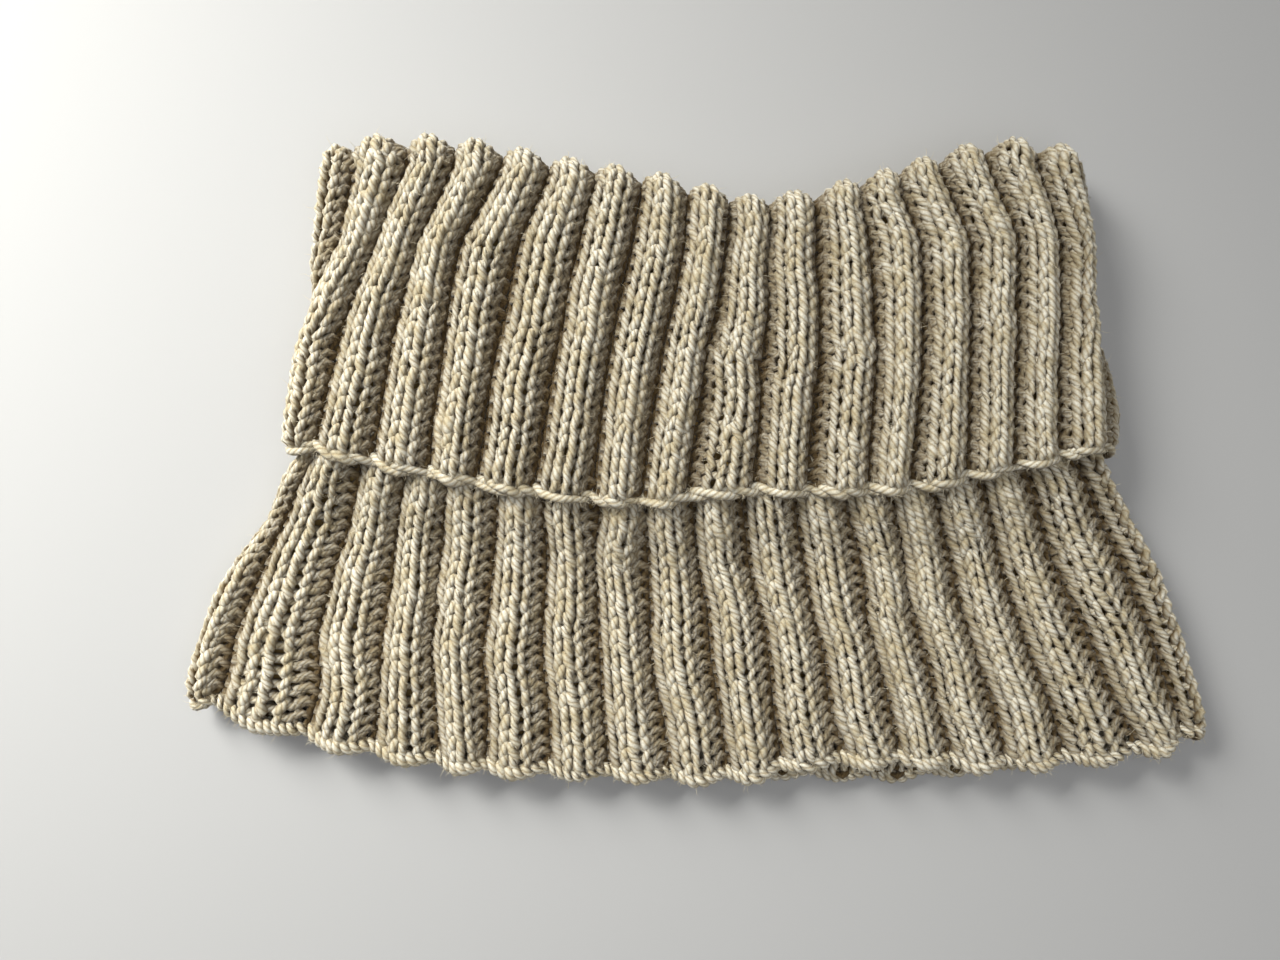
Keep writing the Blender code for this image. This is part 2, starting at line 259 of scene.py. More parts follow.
def add_node(
    tree: bpy.types.NodeTree, kind: str, inputs: dict | None = None, **settings: Any
) -> bpy.types.Node:
    """Adds a shader node.

    Args:
        tree: the material's nodes.
        kind: the node's type.
        inputs: by the socket's name or number, its value or the output that is linked to it.
        settings: the node's own settings.

    Returns:
        The new node.
    """
    node = tree.nodes.new(kind)
    for name, value in settings.items():
        setattr(node, name, value)
    for socket, value in (inputs or {}).items():
        if isinstance(value, bpy.types.NodeSocket):
            tree.links.new(value, node.inputs[socket])
        else:
            node.inputs[socket].default_value = value
    return node


def start_material(name: str, surface: dict) -> tuple[bpy.types.Material, bpy.types.Node]:
    """Makes a material and sets its surface.

    Args:
        name: the material's name.
        surface: by the name of the surface's socket, its value.

    Returns:
        The material and the node of its surface.
    """
    material = bpy.data.materials.new(name)
    material.use_nodes = True
    shader = material.node_tree.nodes["Principled BSDF"]
    for socket, value in surface.items():
        shader.inputs[socket].default_value = value
    return material, shader


class Side(Enum):
    """The two faces of the flattened cowl, by the rib phase at which each starts."""

    FRONT = FIRST_RIB
    BACK = LAST_RIB

    @property
    def lift(self) -> float:
        """Half of the gap between the front and the back, upwards for the front."""
        return SEAM_GAP / 2 if self is Side.FRONT else -SEAM_GAP / 2

    @property
    def hem(self) -> str:
        """The name of this side's hem in the table of rib ends."""
        return "hem" if self is Side.FRONT else "back_hem"


@dataclass(frozen=True)
class Tube:
    """A flattened stretch of the knitted tube, with a coordinate for the ribs and one for the rows.

    A phase counts ribs round the tube, whole in each groove. A course counts rows along it.
    The knit shares are what the two knit wales take of a rib's pitch once spread, at the edge
    and at the far end. The leans say how far past its middle a groove in front is deepest, at
    the left and at the right, because the ribs lean over as the cloth lies.
    """

    lines: tuple
    line_y: tuple
    sides: tuple
    half: float
    core: float
    bend: float
    rib: float
    groove: float
    courses: float
    knit_shares: tuple[float, float]
    leans: tuple[float, float]
    yarn_radius: float

    def flat_between(self, y: np.ndarray) -> tuple[np.ndarray, np.ndarray]:
        """Finds where the tube's flat face ends.

        Args:
            y: heights.

        Returns:
            The x of its left end and of its right end, at each height.
        """
        rows = sorted(self.sides)
        heights = [row.y for row in rows]
        left = np.interp(y, heights, [row.left for row in rows])
        right = np.interp(y, heights, [row.right for row in rows])
        return left + self.half, right - self.half

    def crossed(self, phase: np.ndarray, y: np.ndarray) -> np.ndarray:
        """Reads the table of groove lines, between its rows and columns too.

        Args:
            phase: rib phases of the front.
            y: heights, of the same shape.

        Returns:
            The x where each phase crosses its height.
        """
        heights = np.array(self.line_y)[::-1]
        table = np.array(self.lines)[:, ::-1]
        y = np.minimum(y, heights[-1])
        row = np.clip(np.floor(phase).astype(int), 0, len(table) - 2)
        column = np.clip(np.searchsorted(heights, y) - 1, 0, len(heights) - 2)
        rise = (y - heights[column]) / (heights[column + 1] - heights[column])
        before = table[row, column] + rise * (table[row, column + 1] - table[row, column])
        after = table[row + 1, column] + rise * (table[row + 1, column + 1] - table[row + 1, column])
        return before + (phase - row) * (after - before)

    def lie(self, phase: np.ndarray, y: np.ndarray) -> tuple[np.ndarray, np.ndarray, np.ndarray]:
        """Lays a phase at height y on the tube's core.

        Args:
            phase: rib phases, by the table in front and evenly spaced at the back.
            y: heights, of the same shape.

        Returns:
            The core's x, and the x and z of the outward direction.
        """
        phase = np.where(phase < FIRST_RIB, phase + 2 * RIBS_A_SIDE, phase)
        left, right = self.flat_between(y)
        first = self.crossed(np.full_like(y, FIRST_RIB), y)
        last = self.crossed(np.full_like(y, LAST_RIB), y)
        whole = 2.0 * (right - left) + 2.0 * math.pi * self.bend
        behind = last + (phase - LAST_RIB) / RIBS_A_SIDE * (whole + first - last)
        front = self.crossed(np.clip(phase, FIRST_RIB, LAST_RIB), y)
        reach = np.where(phase > LAST_RIB, behind, front)
        half_turn = math.pi * self.bend
        under = np.clip(reach - right - half_turn, 0.0, right - left)
        angle = (
            np.clip((reach - right) / self.bend, 0.0, math.pi)
            + np.clip((reach - 2.0 * right + left - half_turn) / self.bend, 0.0, math.pi)
            - np.clip((left - reach) / self.bend, 0.0, math.pi)
        )
        return np.clip(reach, left, right) - under, np.sin(angle), np.cos(angle)

    @staticmethod
    def end_at(x: np.ndarray, name: str) -> np.ndarray:
        """Reads where the ribs end, from their table.

        Args:
            x: places across the cowl.
            name: which of the ends: the fold, the flap's edge or a hem.

        Returns:
            The y of that end near each place.
        """
        lines = SKIRT_LINES if "hem" in name else COLLAR_LINES
        edges = np.array([getattr(row, name.removeprefix("back_")) for row in lines])
        return np.interp(x, (edges[:-1] + edges[1:]) / 2, [getattr(row, name) for row in RIB_ENDS])

    @staticmethod
    def rib_height(phase: np.ndarray) -> np.ndarray:
        """Gives 0 in a groove between ribs and 1 on a rib's rounded crest."""
        return 1.0 - np.abs(2.0 * np.mod(phase, 1.0) - 1.0) ** RIB_ROUNDNESS

    def ribbed(self, phase: np.ndarray, out_z: np.ndarray, rib: Any) -> np.ndarray:
        """Gives the wall's thickness: ribbed, but level where it rests on the surface.

        Args:
            phase: rib phases.
            out_z: how far up the wall's outward direction points.
            rib: the thickness on a rib's crest.

        Returns:
            The thickness at each place.
        """
        resting = 1.0 - eased(*UNDERSIDE, out_z)
        height = self.rib_height(phase)
        return self.groove + (rib - self.groove) * (height + (1.0 - height) * resting)


@dataclass(frozen=True)
class CollarTube(Tube):
    """The turned-down half: courses run from the flap's edge up to the fold and over it."""

    def place(self, phase: np.ndarray, course: np.ndarray, thick: Any, side: Side) -> np.ndarray:
        """Gives points in the cloth.

        Args:
            phase: rib phases.
            course: rows counted from the flap's edge.
            thick: how far out from the wall's plain inside.
            side: the front or the back.

        Returns:
            The points, in millimetres.
        """
        x_fold = self.lie(phase, np.full_like(phase, self.line_y.fold))[0]
        x_flap = self.lie(phase, np.full_like(phase, self.line_y.flap))[0]
        y_fold = self.end_at(x_fold, "fold") - self.rib
        share = np.clip(course / self.courses, 0.0, 1.0)
        y_flap = self.end_at(x_flap, "flap") - EDGE_SCALLOP * self.rib_height(phase) * (1.0 - share)
        below = np.minimum(course, 0.0) * ROW_HEIGHT
        turn = self.turn(course)
        y = y_flap + share * (y_fold - y_flap)
        x, out_x, out_z = self.lie(phase, y)
        away = self.core + thick * np.cos(turn)
        return np.stack(
            [
                x + out_x * away,
                y + below + thick * np.sin(turn),
                self.half + out_z * away + side.lift,
            ],
            axis=-1,
        )

    def turn(self, course: np.ndarray) -> np.ndarray:
        """Gives how far the cloth has turned over the fold, in radians."""
        return np.clip((course - self.courses) * ROW_HEIGHT / self.rib, 0.0, math.pi)

    def wall(self, phase: np.ndarray, course: np.ndarray) -> np.ndarray:
        """Gives the wall's thickness at a place in the cloth.

        Args:
            phase: rib phases.
            course: rows counted from the flap's edge.

        Returns:
            The thickness, in millimetres.
        """
        share = np.clip(course / self.courses, 0.0, 1.0)
        y = self.line_y.flap + share * (self.line_y.fold - self.line_y.flap)
        thick = self.ribbed(phase, self.lie(phase, y)[2], self.rib)
        thick = thick + eased(*FOLD_EASE, self.turn(course)) * (HOOK_WALL - thick)
        return EDGE_WALL + (thick - EDGE_WALL) * eased(*EDGE_TAPER, course * ROW_HEIGHT)


@dataclass(frozen=True)
class SkirtTube(Tube):
    """The flared half: courses run from the hem up to under the flap."""

    def place(self, phase: np.ndarray, course: np.ndarray, thick: Any, side: Side) -> np.ndarray:
        """Gives points in the cloth.

        Args:
            phase: rib phases.
            course: rows counted from the hem.
            thick: how far out from the wall's plain inside.
            side: the front or the back.

        Returns:
            The points, in millimetres.
        """
        x_top = self.lie(phase, np.full_like(phase, self.line_y.hidden))[0]
        x_hem = self.lie(phase, np.full_like(phase, self.line_y.hem))[0]
        y_flap = self.end_at(x_top, "flap")
        share = 1.0 - np.clip(course / self.courses, 0.0, 1.0)
        y_top = y_flap + SKIRT_UNDER_FLAP
        y_hem = self.end_at(x_hem, side.hem) - HEM_SCALLOP * self.rib_height(phase) * share
        y = y_top + share * (y_hem - y_top)
        down = 1.0 - eased(*SKIRT_DROP, y - y_flap)
        middle = COLLAR_HEIGHT / 2 + (self.half - COLLAR_HEIGHT / 2) * down + side.lift
        x, out_x, out_z = self.lie(phase, y)
        below = np.minimum(course, 0.0) * ROW_HEIGHT
        return np.stack([x + out_x * thick, y + below, middle + out_z * thick], axis=-1)

    def wall(self, phase: np.ndarray, course: np.ndarray) -> np.ndarray:
        """Gives the wall's thickness at a place in the cloth.

        Args:
            phase: rib phases.
            course: rows counted from the hem.

        Returns:
            The thickness, in millimetres.
        """
        share = np.clip(course / self.courses, 0.0, 1.0)
        y = self.line_y.hem + share * (self.line_y.hidden - self.line_y.hem)
        rib = self.rib + (SQUEEZED_RIB - self.rib) * eased(*SQUEEZED_ABOVE, share)
        thick = self.ribbed(phase, self.lie(phase, y)[2], rib)
        return EDGE_WALL + (thick - EDGE_WALL) * eased(*EDGE_TAPER, course * ROW_HEIGHT)


COLLAR = CollarTube(
    COLLAR_LINES,
    COLLAR_LINE_Y,
    COLLAR_SIDES,
    half=COLLAR_HEIGHT / 2,
    core=4.85,
    bend=9.0,
    rib=5.85,
    groove=2.75,
    courses=22.0,
    knit_shares=(0.69, 0.74),
    leans=(0.05, -0.07),
    yarn_radius=1.4,
)
SKIRT = SkirtTube(
    SKIRT_LINES,
    SKIRT_LINE_Y,
    SKIRT_SIDES,
    half=SKIRT_HEIGHT / 2,
    core=0.0,
    bend=4.0,
    rib=5.35,
    groove=2.4,
    courses=24.5,
    knit_shares=(0.7, 0.69),
    leans=(0.07, 0.08),
    yarn_radius=1.42,
)

# The back's ribs stand straight
NO_LEANS = (0.0, 0.0)


@dataclass(frozen=True)
class Gauge:
    """How finely knitting is drawn: points along a knit and a purl stitch, and round the yarn."""

    knit: int
    purl: int
    round: int

    def points(self, is_knit: bool, width: float) -> int:
        """Gives how many points a stitch has.

        Args:
            is_knit: whether it is a knit stitch.
            width: its share of the rib's pitch.

        Returns:
            The number, half as many for a purl stitch that is hidden in its groove.
        """
        if is_knit:
            return self.knit
        return self.purl // 2 if width < HIDDEN_WIDTH else self.purl


FINE = Gauge(knit=11, purl=8, round=8)
PLAIN = Gauge(knit=6, purl=4, round=6)


@dataclass(frozen=True)
class Wool:
    """Undyed aran wool, softly spun in four plies: matt, with soft lines of painted shade between the
    plies.

    The eye gets a cream thread with slanting strands, with painted shade where they meet, the
    uneven warmth of fleece that was never bleached, and painted brown shade deep in the knitting.
    """

    name: str = "wool_plied_undyed"
    light: str = "F8F4E6"
    warm: str = "D7CCAF"
    # painted shade in the lines between the plies
    between: str = "BBA783"
    # painted shade on the yarn's underside and deep in the knitting
    shaded: str = "6F5F45"
    plies: float = 4.0
    ply_spacing_mm: float = 2.0
    ply_depth_mm: float = 0.16
    ply_shade_tones: tuple[float, float] = (0.95, 0.05)
    fleece_patch_mm: float = 5.0
    fleece_range: tuple[float, float] = (0.35, 0.62)
    # A single fibre is 0.03 mm thick, too fine to show, so the grain is drawn as clumps of them
    fibre_mm: float = 0.55
    fibre_range: tuple[float, float] = (0.38, 0.58)
    fibre_height: float = 0.35
    speck_tone: float = 0.82
    underside_shade_range: tuple[float, float] = (0.22, 0.44)
    sunk_shade_range: tuple[float, float] = (1.0, 0.2)
    roughness: float = 0.92
    specular: float = 0.25
    sheen: float = 0.25
    sheen_roughness: float = 0.5

    def build(self) -> bpy.types.Material:
        """Makes the material.

        Returns:
            The material, which reads the "yarn" map: millimetres along, and turns round it.
        """
        surface = {
            "Roughness": self.roughness,
            "Specular IOR Level": self.specular,
            "Sheen Weight": self.sheen,
            "Sheen Roughness": self.sheen_roughness,
        }
        material, shader = start_material(self.name, surface)
        tree = material.node_tree
        place = add_node(tree, "ShaderNodeUVMap", uv_map="yarn")
        parts = add_node(tree, "ShaderNodeSeparateXYZ", {0: place.outputs[0]})
        where = add_node(tree, "ShaderNodeTexCoord")
        fibres = add_node(
            tree,
            "ShaderNodeTexNoise",
            {"Vector": where.outputs["Object"], "Scale": 1.0 / (self.fibre_mm * MM), "Detail": 2.0},
        )
        strand = self.strand_height(tree, parts.outputs[0], parts.outputs[1])
        plied = self.plied_colour(tree, where.outputs["Object"], strand)
        shade = self.shade(tree, parts.outputs[1], fibres.outputs[0])
        shown_wool = add_node(
            tree, "ShaderNodeMix", {0: 1.0, 6: plied, 7: shade}, data_type="RGBA", blend_type="MULTIPLY"
        )
        height = add_node(
            tree,
            "ShaderNodeMath",
            {0: fibres.outputs[0], 1: self.fibre_height, 2: strand},
            operation="MULTIPLY_ADD",
        )
        bump = add_node(
            tree,
            "ShaderNodeBump",
            {"Height": height.outputs[0], "Distance": self.ply_depth_mm * MM, "Strength": 1.0},
        )
        tree.links.new(shown_wool.outputs[2], shader.inputs["Base Color"])
        tree.links.new(bump.outputs[0], shader.inputs["Normal"])
        return material

    def strand_height(
        self, tree: bpy.types.NodeTree, along: bpy.types.NodeSocket, around: bpy.types.NodeSocket
    ) -> bpy.types.NodeSocket:
        """Twists the plies along the yarn.

        Args:
            tree: the material's nodes.
            along: millimetres along the yarn.
            around: turns round it.

        Returns:
            1 on the crest of a ply and 0 in the line between two of them.
        """
        turns = add_node(tree, "ShaderNodeMath", {0: around, 1: self.plies}, operation="MULTIPLY")
        twist = add_node(
            tree,
            "ShaderNodeMath",
            {0: along, 1: 1.0 / self.ply_spacing_mm, 2: turns.outputs[0]},
            operation="MULTIPLY_ADD",
        )
        ply = add_node(tree, "ShaderNodeMath", {0: twist.outputs[0]}, operation="FRACT")
        off_middle = add_node(
            tree, "ShaderNodeMath", {0: ply.outputs[0], 1: 2.0, 2: -1.0}, operation="MULTIPLY_ADD"
        )
        middle = off_middle.outputs[0]
        fall = add_node(tree, "ShaderNodeMath", {0: middle, 1: middle}, operation="MULTIPLY")
        strand = add_node(tree, "ShaderNodeMath", {0: 1.0, 1: fall.outputs[0]}, operation="SUBTRACT")
        return strand.outputs[0]

    def plied_colour(
        self, tree: bpy.types.NodeTree, where: bpy.types.NodeSocket, strand: bpy.types.NodeSocket
    ) -> bpy.types.NodeSocket:
        """Colours the plies, in patches of lighter and warmer fleece, with painted shade in the lines
        between them.

        Args:
            tree: the material's nodes.
            where: the place in the object.
            strand: the height of the plies.

        Returns:
            The colour.
        """
        patches = add_node(
            tree,
            "ShaderNodeTexNoise",
            {"Vector": where, "Scale": 1.0 / (self.fleece_patch_mm * MM), "Detail": 3.0},
        )
        low, high = self.fleece_range
        patched = add_node(
            tree, "ShaderNodeMapRange", {"Value": patches.outputs[0], "From Min": low, "From Max": high}
        )
        fleece = add_node(
            tree,
            "ShaderNodeMix",
            {0: patched.outputs[0], 6: linear_colour(self.warm), 7: linear_colour(self.light)},
            data_type="RGBA",
        )
        # Painted shade: the lines between the plies are darkened towards the between colour.
        full, least = self.ply_shade_tones
        shown = add_node(
            tree, "ShaderNodeMapRange", {"Value": strand, "From Max": full, "To Min": least}
        )
        plied = add_node(
            tree,
            "ShaderNodeMix",
            {0: shown.outputs[0], 6: linear_colour(self.between), 7: fleece.outputs[2]},
            data_type="RGBA",
        )
        return plied.outputs[2]

    def shade(
        self, tree: bpy.types.NodeTree, around: bpy.types.NodeSocket, fibres: bpy.types.NodeSocket
    ) -> bpy.types.NodeSocket:
        """Paints shade on the yarn's underside and on what lies deep in the knitting, with a fine fleck.

        Args:
            tree: the material's nodes.
            around: turns round the yarn.
            fibres: the grain of the fibres.

        Returns:
            The colour by which the wool's own is multiplied.
        """
        # Painted shade: the yarn's underside and sides, and yarn that lies deep in the knitting, are
        # darkened towards the shaded colour.
        from_under = add_node(tree, "ShaderNodeMath", {0: around, 1: 0.5}, operation="SUBTRACT")
        facing = add_node(tree, "ShaderNodeMath", {0: from_under.outputs[0]}, operation="ABSOLUTE")
        low, high = self.underside_shade_range
        open_side = add_node(
            tree, "ShaderNodeMapRange", {"Value": facing.outputs[0], "From Min": low, "From Max": high}
        )
        sunk = add_node(tree, "ShaderNodeAttribute", attribute_name="sunk")
        deep, shallow = self.sunk_shade_range
        open_air = add_node(
            tree,
            "ShaderNodeMapRange",
            {"Value": sunk.outputs["Fac"], "From Min": deep, "From Max": shallow},
        )
        lit = add_node(
            tree,
            "ShaderNodeMath",
            {0: open_side.outputs[0], 1: open_air.outputs[0]},
            operation="MULTIPLY",
        )
        # wool here is the painted shade, white where the yarn faces out and lies near the crests
        wool = add_node(
            tree,
            "ShaderNodeMix",
            {0: lit.outputs[0], 6: linear_colour(self.shaded), 7: WHITE},
            data_type="RGBA",
        )
        low, high = self.fibre_range
        specks = add_node(
            tree,
            "ShaderNodeMapRange",
            {"Value": fibres, "From Min": low, "From Max": high, "To Min": self.speck_tone},
        )
        speckled = add_node(
            tree, "ShaderNodeVectorMath", {0: wool.outputs[2], 3: specks.outputs[0]}, operation="SCALE"
        )
        return speckled.outputs[0]


@dataclass(frozen=True)
class Fleece:
    """The wool where it isn't seen as yarn: the inner loops in painted shade, or single loose fibres.

    The eye gets depth behind the loops from the painted shade of the dark one, and a pale haze from the
    light one.
    """

    name: str
    colour: str
    grain: str
    grain_mm: float = 1.6
    grain_depth_mm: float = 0.4
    roughness: float = 1.0
    specular: float = 0.1

    def build(self) -> bpy.types.Material:
        """Makes the material, with a fine uneven grain.

        Returns:
            The material.
        """
        surface = {"Roughness": self.roughness, "Specular IOR Level": self.specular}
        material, shader = start_material(self.name, surface)
        tree = material.node_tree
        where = add_node(tree, "ShaderNodeTexCoord")
        grain = add_node(
            tree,
            "ShaderNodeTexNoise",
            {"Vector": where.outputs["Object"], "Scale": 1.0 / (self.grain_mm * MM), "Detail": 4.0},
        )
        mixed = add_node(
            tree,
            "ShaderNodeMix",
            {0: grain.outputs[0], 6: linear_colour(self.colour), 7: linear_colour(self.grain)},
            data_type="RGBA",
        )
        bump = add_node(
            tree,
            "ShaderNodeBump",
            {"Height": grain.outputs[0], "Distance": self.grain_depth_mm * MM, "Strength": 1.0},
        )
        tree.links.new(mixed.outputs[2], shader.inputs["Base Color"])
        tree.links.new(bump.outputs[0], shader.inputs["Normal"])
        return material


def mesh_piece(
    name: str,
    points: np.ndarray,
    faces: list[np.ndarray],
    material: bpy.types.Material,
    maps: dict[str, list[np.ndarray]] | None = None,
    sunk: np.ndarray | None = None,
) -> bpy.types.Object:
    """Makes an object from arrays.

    Args:
        name: the piece's name.
        points: its points, in millimetres.
        faces: arrays of corner indices, one array for each number of corners.
        material: its material.
        maps: for each UV map, the place of every corner, an array for each of faces.
        sunk: for each point, how deep in the knitting it lies, by which the yarn's material paints shade.

    Returns:
        The new object, shaded smooth.
    """
    mesh = bpy.data.meshes.new(name)
    corners = np.concatenate([group.ravel() for group in faces])
    totals = np.concatenate([np.full(len(group), group.shape[1]) for group in faces])
    starts = np.concatenate([[0], np.cumsum(totals)[:-1]])
    mesh.vertices.add(len(points))
    mesh.vertices.foreach_set("co", (points * MM).astype(np.float32).ravel())
    mesh.loops.add(len(corners))
    mesh.loops.foreach_set("vertex_index", corners.astype(np.int32))
    mesh.polygons.add(len(totals))
    mesh.polygons.foreach_set("loop_start", starts.astype(np.int32))
    mesh.polygons.foreach_set("loop_total", totals.astype(np.int32))
    mesh.update(calc_edges=True)
    for map_name, groups in (maps or {}).items():
        layer = mesh.uv_layers.new(name=map_name)
        flat = np.concatenate([group.reshape(-1, 2) for group in groups])
        layer.data.foreach_set("uv", flat.astype(np.float32).ravel())
    if sunk is not None:
        mesh.attributes.new("sunk", "FLOAT", "POINT").data.foreach_set("value", sunk.astype(np.float32))
    mesh.validate()
    mesh.shade_smooth()
    mesh.materials.append(material)
    piece = bpy.data.objects.new(name, mesh)
    bpy.context.scene.collection.objects.link(piece)
    return piece


def grid_faces(rows: int, columns: int, wrap: bool) -> np.ndarray:
    """Lists the four-cornered faces of a grid of points.

    Args:
        rows: the number of rows.
        columns: the number of points in a row.
        wrap: whether the last column meets the first.

    Returns:
        The corners of each face.
    """
    across = columns if wrap else columns - 1
    row = np.repeat(np.arange(rows - 1), across)
    column = np.tile(np.arange(across), rows - 1)
    after = (column + 1) % columns
    corners = (
        row * columns + column,
        row * columns + after,
        (row + 1) * columns + after,
        (row + 1) * columns + column,
    )
    return np.stack(corners, axis=-1)


@dataclass
class Strand:
    """Rows of yarn, each swept round its middle line, with how far below the ribs' crests it lies."""

    middle: np.ndarray
    outward: np.ndarray
    radius: np.ndarray
    below: np.ndarray
    round: int
    deepest_mm: float = 5.0

    def rings(self) -> np.ndarray:
        """Sweeps a ring round the yarns' middle lines.

        Returns:
            The points, by row, place along the yarn and turn round it.
        """
        along = unit(np.gradient(self.middle, axis=1))
        out = unit(self.outward - along * np.sum(self.outward * along, axis=-1, keepdims=True))
        beside = np.cross(along, out)
        angle = np.arange(self.round) / self.round * 2.0 * math.pi
        spread = (
            np.cos(angle)[:, None] * out[:, :, None, :] + np.sin(angle)[:, None] * beside[:, :, None, :]
        )
        return self.middle[:, :, None, :] + self.radius[:, :, None, None] * spread

    def piece(self, name: str, material: bpy.types.Material) -> bpy.types.Object:
        """Makes the rows into one mesh that rests on the surface.

        Args:
            name: the piece's name.
            material: the yarn's material.

        Returns:
            The piece, with a map along each yarn, and a second map for a texture in which each
            row has two bands of its own.
        """
        rings = self.rings()
        rings[..., 2] = np.maximum(rings[..., 2], 0.0)
        rows, steps, turns = rings.shape[:3]
        body = grid_faces(steps, turns, wrap=True)
        caps = np.stack([np.arange(turns)[::-1], (steps - 1) * turns + np.arange(turns)])
        shift = (np.arange(rows) * steps * turns)[:, None, None]
        faces = [(body[None] + shift).reshape(-1, 4), (caps[None] + shift).reshape(-1, turns)]
        step = np.repeat(np.arange(steps - 1), turns)
        turn = np.tile(np.arange(turns), steps - 1)
        corner_step = np.stack([step, step, step + 1, step + 1], axis=-1)
        corner_turn = np.stack([turn, turn + 1, turn + 1, turn], axis=-1) / turns
        maps = {
            "OFBake": self.texture_map(corner_step, corner_turn, turns),
            "yarn": self.yarn_map(corner_step, corner_turn, turns),
        }
        # How deep each point lies, by which the wool paints shade deep in the knitting.
        sunk = np.repeat(self.below.ravel(), turns) / self.deepest_mm
        return mesh_piece(name, rings.reshape(-1, 3), faces, material, maps, sunk)

    def yarn_map(self, corner_step: np.ndarray, corner_turn: np.ndarray, turns: int) -> list[np.ndarray]:
        """Maps each corner to its millimetres along the yarn and its turns round it.

        Args:
            corner_step: for each face of one yarn, the step along it of the face's corners.
            corner_turn: the same for the share of a turn round the yarn.
            turns: the number of points round the yarn.

        Returns:
            The map of the yarns' sides and that of their ends.
        """
        rows = len(self.middle)
        travel = np.linalg.norm(np.diff(self.middle, axis=1), axis=-1)
        travel = np.concatenate([np.zeros((rows, 1)), np.cumsum(travel, axis=1)], axis=1)
        around = np.broadcast_to(corner_turn, (rows, *corner_turn.shape))
        return [np.stack([travel[:, corner_step], around], axis=-1), np.zeros((2 * rows, turns, 2))]

    def texture_map(self, corner_step: np.ndarray, corner_turn: np.ndarray, turns: int) -> list[np.ndarray]:
        """Lays the yarns beside each other for a texture: two bands for each row, none overlapping.

        Args:
            corner_step: for each face of one yarn, the step along it of the face's corners.
            corner_turn: the same for the share of a turn round the yarn.
            turns: the number of points round the yarn.

        Returns:
            The map of the yarns' sides and that of their ends, which lie in the bands' margin.
        """
        rows, steps = self.middle.shape[:2]
        half = (steps - 1) // 2 + 1
        band = (corner_step[:, :1] >= half).astype(float)
        along = BAND_END + (1.0 - 2.0 * BAND_END) * (corner_step - band * half) / half
        row = np.arange(rows)[:, None, None]
        in_band = BAND_SIDE + (1.0 - 2.0 * BAND_SIDE) * corner_turn[None]
        across = (row * 2 + band[None] + in_band) / (2 * rows)
        sides = np.stack([np.broadcast_to(along, across.shape), across], axis=-1)
        angle = np.arange(turns) / turns * 2.0 * math.pi
        cap_row = np.arange(2 * rows)[:, None]
        cap_across = (cap_row + 0.5 + CAP_RADII[1] * np.sin(angle)) / (2 * rows)
        cap_along = CAP_MIDDLE + CAP_RADII[0] * np.cos(angle)
        ends = np.stack([np.broadcast_to(cap_along, cap_across.shape), cap_across], axis=-1)
        return [sides, ends]


def drift(rng: np.random.Generator, shape: tuple[int, int], every: int) -> np.ndarray:
    """Makes a slow random change along each yarn, as from uneven spinning.

    Args:
        rng: the random draws.
        shape: the number of yarns and of places along each.
        every: the number of places between two draws.

    Returns:
        The change at each place, mostly between -1 and 1.
    """
    count = shape[1] // every + 2
    knots = rng.standard_normal((shape[0], count))
    places = np.arange(shape[1]) / every
    return np.stack([np.interp(places, np.arange(count), row) for row in knots])


